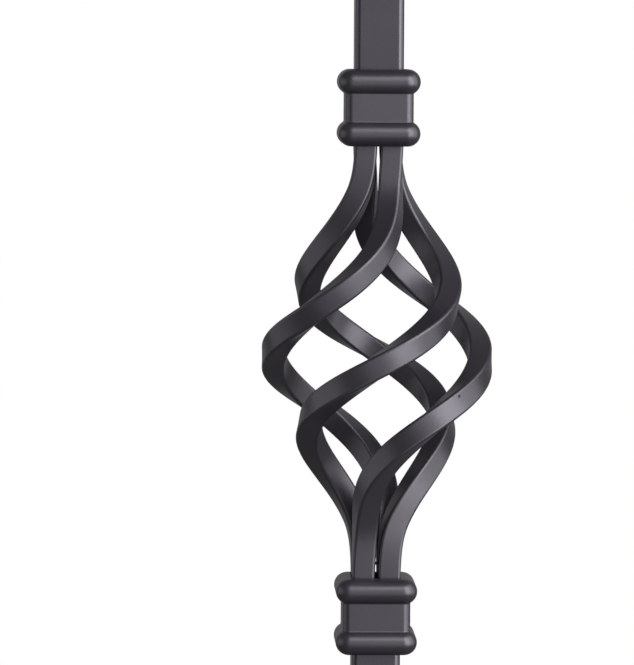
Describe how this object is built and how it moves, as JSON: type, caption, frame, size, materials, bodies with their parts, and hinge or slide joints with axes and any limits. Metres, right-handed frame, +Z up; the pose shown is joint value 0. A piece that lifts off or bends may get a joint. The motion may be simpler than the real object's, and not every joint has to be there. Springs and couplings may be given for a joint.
{
  "type": "iron stair baluster",
  "caption": "Square iron stair baluster with a twist above and below an open basket of spiral rods, a banded collar over each joint, a round pin at the top and a square-cut foot.",
  "frame": {"origin": "centre of the foot's flat end, where the baluster stands on a tread or in its shoe", "axes": "+Z up the bar towards the top pin; X and Y square to the bar's flat faces"},
  "size_m": [0.0604, 0.0604, 1.1176],
  "materials": {
    "bar_coat": "satin charcoal powder coat over steel bar",
    "rod_coat": "satin charcoal powder coat over steel rod",
    "collar_coat": "satin charcoal powder coat over a cast collar"
  },
  "bodies": {
    "root": {"upper_bar": "bar_coat", "lower_bar": "bar_coat", "basket_rod_1": "rod_coat", "basket_rod_2": "rod_coat", "basket_rod_3": "rod_coat", "basket_rod_4": "rod_coat", "upper_collar": "collar_coat", "lower_collar": "collar_coat"}
  },
  "joints": []
}
